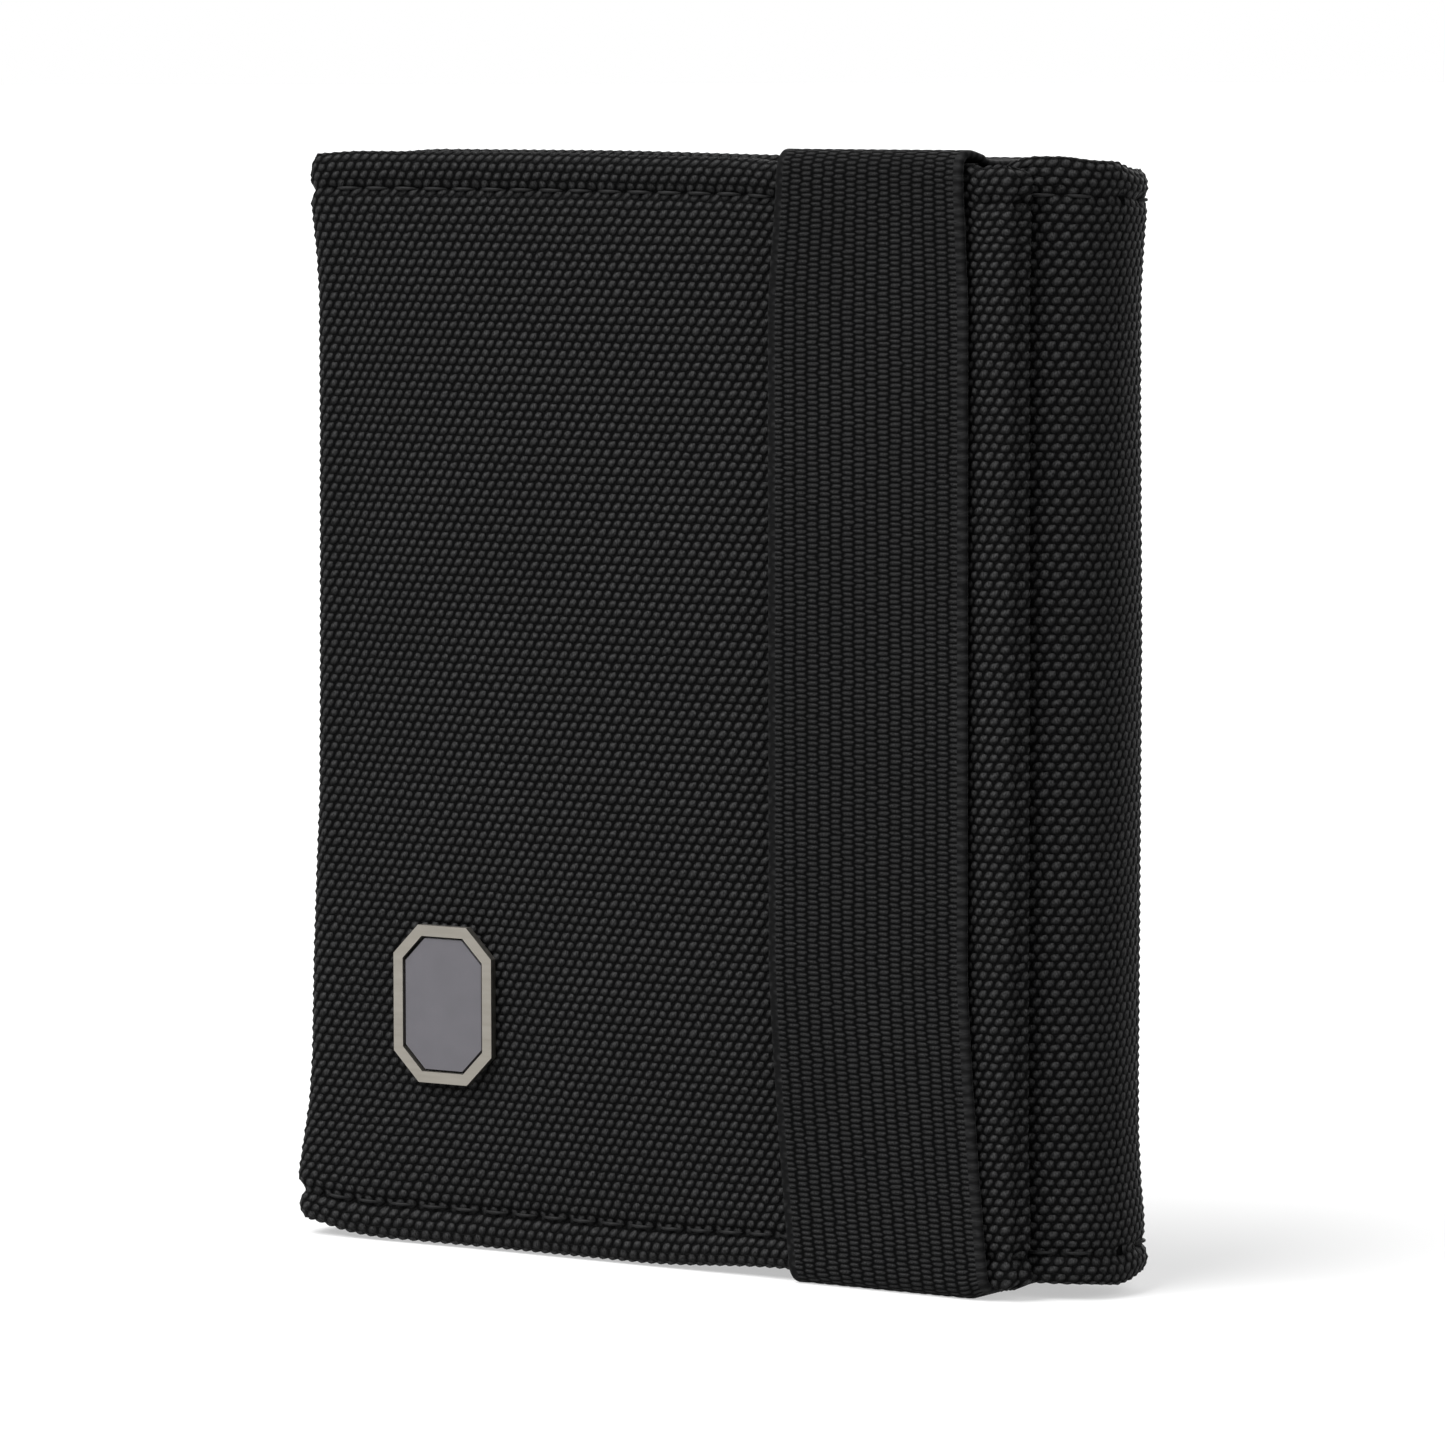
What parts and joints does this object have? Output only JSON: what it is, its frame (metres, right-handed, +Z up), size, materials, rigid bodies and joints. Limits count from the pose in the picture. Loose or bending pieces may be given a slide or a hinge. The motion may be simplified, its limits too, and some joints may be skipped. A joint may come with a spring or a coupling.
{
  "type": "passport holder wallet",
  "caption": "Tri-fold fabric passport wallet with book-spine folds, zipped coin pouch, passport pocket, card slots and an elastic band closure.",
  "frame": {"origin": "centre of the overall box at the bottom, where the standing wallet meets the floor", "axes": "+Z up along the folds, -Y out of the front flap with the badge and the elastic, +X towards the fold of the inner flap"},
  "size_m": [0.1116, 0.0222, 0.1396],
  "materials": {
    "ballistic_fabric": "coarse two-ply ballistic weave, matt with a soft sheen",
    "elastic": "ribbed woven elastic, matt",
    "lining_fabric": "fine plain-weave lining, slightly glossy",
    "stiffener_board": "plain fibre board, hidden",
    "rfid_foil": "metallised film, hidden",
    "zip_tape": "herringbone zip tape, matt",
    "zip_coil": "moulded nylon coil",
    "zip_metal": "gunmetal plating, satin",
    "badge_metal": "pale champagne nickel, satin",
    "badge_enamel": "smooth grey-lilac enamel"
  },
  "bodies": {
    "back_panel": {"back_shell": "ballistic_fabric", "back_stiffener": "stiffener_board", "rfid_shield": "rfid_foil", "back_lining": "lining_fabric", "passport_gusset": "lining_fabric", "passport_divider": "lining_fabric", "coin_gusset": "lining_fabric", "coin_pouch_wall": "lining_fabric", "zip_tape_left": "zip_tape", "zip_tape_right": "zip_tape", "zip_coil_left": "zip_coil", "zip_coil_right": "zip_coil", "zip_bottom_stop": "zip_metal", "zip_top_stop": "zip_metal", "band_tail_top": "elastic", "band_tail_bottom": "elastic"},
    "left_spine": {"left_spine_shell": "ballistic_fabric", "left_spine_lining": "lining_fabric"},
    "front_flap": {"front_shell": "ballistic_fabric", "front_stiffener": "stiffener_board", "front_lining": "lining_fabric", "front_slip_pocket": "lining_fabric", "badge_frame": "badge_metal", "badge_enamel": "badge_enamel", "badge_backplate": "badge_metal"},
    "right_spine": {"right_spine_shell": "ballistic_fabric", "right_spine_lining": "lining_fabric"},
    "inner_flap": {"inner_shell": "ballistic_fabric", "inner_stiffener": "stiffener_board", "inner_lining": "lining_fabric", "card_slot_tall": "lining_fabric", "card_slot_middle": "lining_fabric", "card_slot_short": "lining_fabric"},
    "band": {"elastic_band": "elastic"},
    "zip_slider": {"zip_slider": "zip_metal"},
    "zip_pull": {"zip_pull": "zip_metal"}
  },
  "joints": [
    {"name": "left_spine_fold", "type": "hinge", "parent": "back_panel", "child": "left_spine", "pos_m": [-0.0526, 0.0102, 0.0698], "axis": [0, 0, -1], "range_deg": [0, 90]},
    {"name": "front_flap_fold", "type": "hinge", "parent": "left_spine", "child": "front_flap", "pos_m": [-0.0526, -0.0098, 0.0698], "axis": [0, 0, -1], "range_deg": [0, 90]},
    {"name": "right_spine_fold", "type": "hinge", "parent": "back_panel", "child": "right_spine", "pos_m": [0.0506, 0.0102, 0.0698], "axis": [0, 0, 1], "range_deg": [0, 90]},
    {"name": "inner_flap_fold", "type": "hinge", "parent": "right_spine", "child": "inner_flap", "pos_m": [0.0506, -0.0059, 0.0698], "axis": [0, 0, 1], "range_deg": [0, 90]},
    {"name": "band_release", "type": "hinge", "parent": "back_panel", "child": "band", "pos_m": [0.0292, 0.0076, 0.0698], "axis": [0, 0, 1], "range_deg": [0, 180], "deforming": ["elastic_band"]},
    {"name": "zip_slide", "type": "slide", "parent": "back_panel", "child": "zip_slider", "axis": [0, 0, -1], "range_m": [0, 0.0865]},
    {"name": "zip_pull_swing", "type": "hinge", "parent": "zip_slider", "child": "zip_pull", "pos_m": [-0.03, -0.00395, 0.112], "axis": [0, 1, 0], "range_deg": [-30, 30]}
  ],
  "couplings": [
    {"joint": "front_flap_fold", "follows": "left_spine_fold", "ratio": 1},
    {"joint": "right_spine_fold", "follows": "left_spine_fold", "ratio": 0.8},
    {"joint": "inner_flap_fold", "follows": "left_spine_fold", "ratio": 0.8},
    {"joint": "band_release", "follows": "left_spine_fold", "ratio": 2}
  ]
}
